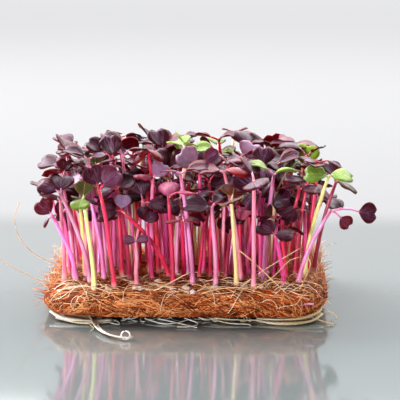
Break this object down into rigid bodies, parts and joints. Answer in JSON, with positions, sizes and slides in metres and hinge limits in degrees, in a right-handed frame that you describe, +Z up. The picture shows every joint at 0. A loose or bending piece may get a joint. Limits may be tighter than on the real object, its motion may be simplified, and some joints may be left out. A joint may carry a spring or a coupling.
{
  "type": "radish microgreens on a coir mat",
  "caption": "Dense stand of red radish microgreens with notched seed leaves on slender stems, growing in a thin rectangular coconut-fibre mat with its roots matted underneath.",
  "frame": {"origin": "on the table, under the middle of the growing mat", "axes": "+X along the mat's long side, to the right in the picture; +Y away from the camera, to the back; +Z up, the way the stems grow"},
  "size_m": [0.1791, 0.1403, 0.0836],
  "materials": {
    "coir": "loose orange-brown coconut fibre, matt",
    "root": "matted fine white roots, slightly moist",
    "purple_sprout": "living stem and leaf: bright magenta stems, dark purple satin leaves",
    "green_sprout": "living stem and leaf: yellow-green stems, green satin leaves"
  },
  "bodies": {
    "root": {"coir_mat": "coir", "long_fibre_high": "coir", "long_fibre_low": "coir", "root_mat": "root", "sprout_01": "purple_sprout", "sprout_02": "purple_sprout", "sprout_03": "green_sprout", "sprout_04": "purple_sprout", "sprout_05": "purple_sprout", "sprout_06": "purple_sprout", "sprout_07": "purple_sprout", "sprout_08": "purple_sprout", "sprout_09": "purple_sprout", "sprout_10": "green_sprout", "sprout_11": "purple_sprout", "sprout_12": "purple_sprout", "sprout_13": "purple_sprout", "sprout_14": "purple_sprout", "sprout_15": "purple_sprout", "sprout_16": "purple_sprout", "sprout_17": "purple_sprout", "sprout_18": "green_sprout", "sprout_19": "green_sprout", "sprout_20": "purple_sprout", "sprout_21": "purple_sprout", "sprout_22": "purple_sprout", "sprout_23": "green_sprout", "sprout_24": "purple_sprout", "sprout_25": "purple_sprout", "sprout_26": "purple_sprout", "sprout_27": "green_sprout", "sprout_28": "purple_sprout", "sprout_29": "green_sprout", "sprout_30": "purple_sprout", "sprout_31": "purple_sprout", "sprout_32": "purple_sprout", "sprout_33": "purple_sprout", "sprout_34": "green_sprout", "sprout_35": "purple_sprout", "sprout_36": "purple_sprout", "sprout_37": "purple_sprout", "sprout_38": "purple_sprout", "sprout_39": "purple_sprout", "sprout_40": "green_sprout", "sprout_41": "green_sprout", "sprout_42": "purple_sprout", "sprout_43": "purple_sprout", "sprout_44": "purple_sprout", "sprout_45": "purple_sprout", "sprout_46": "purple_sprout", "sprout_47": "purple_sprout", "sprout_48": "green_sprout", "sprout_49": "purple_sprout", "sprout_50": "purple_sprout", "sprout_51": "green_sprout", "sprout_52": "purple_sprout", "sprout_53": "purple_sprout", "sprout_54": "green_sprout", "sprout_55": "green_sprout"}
  },
  "joints": []
}
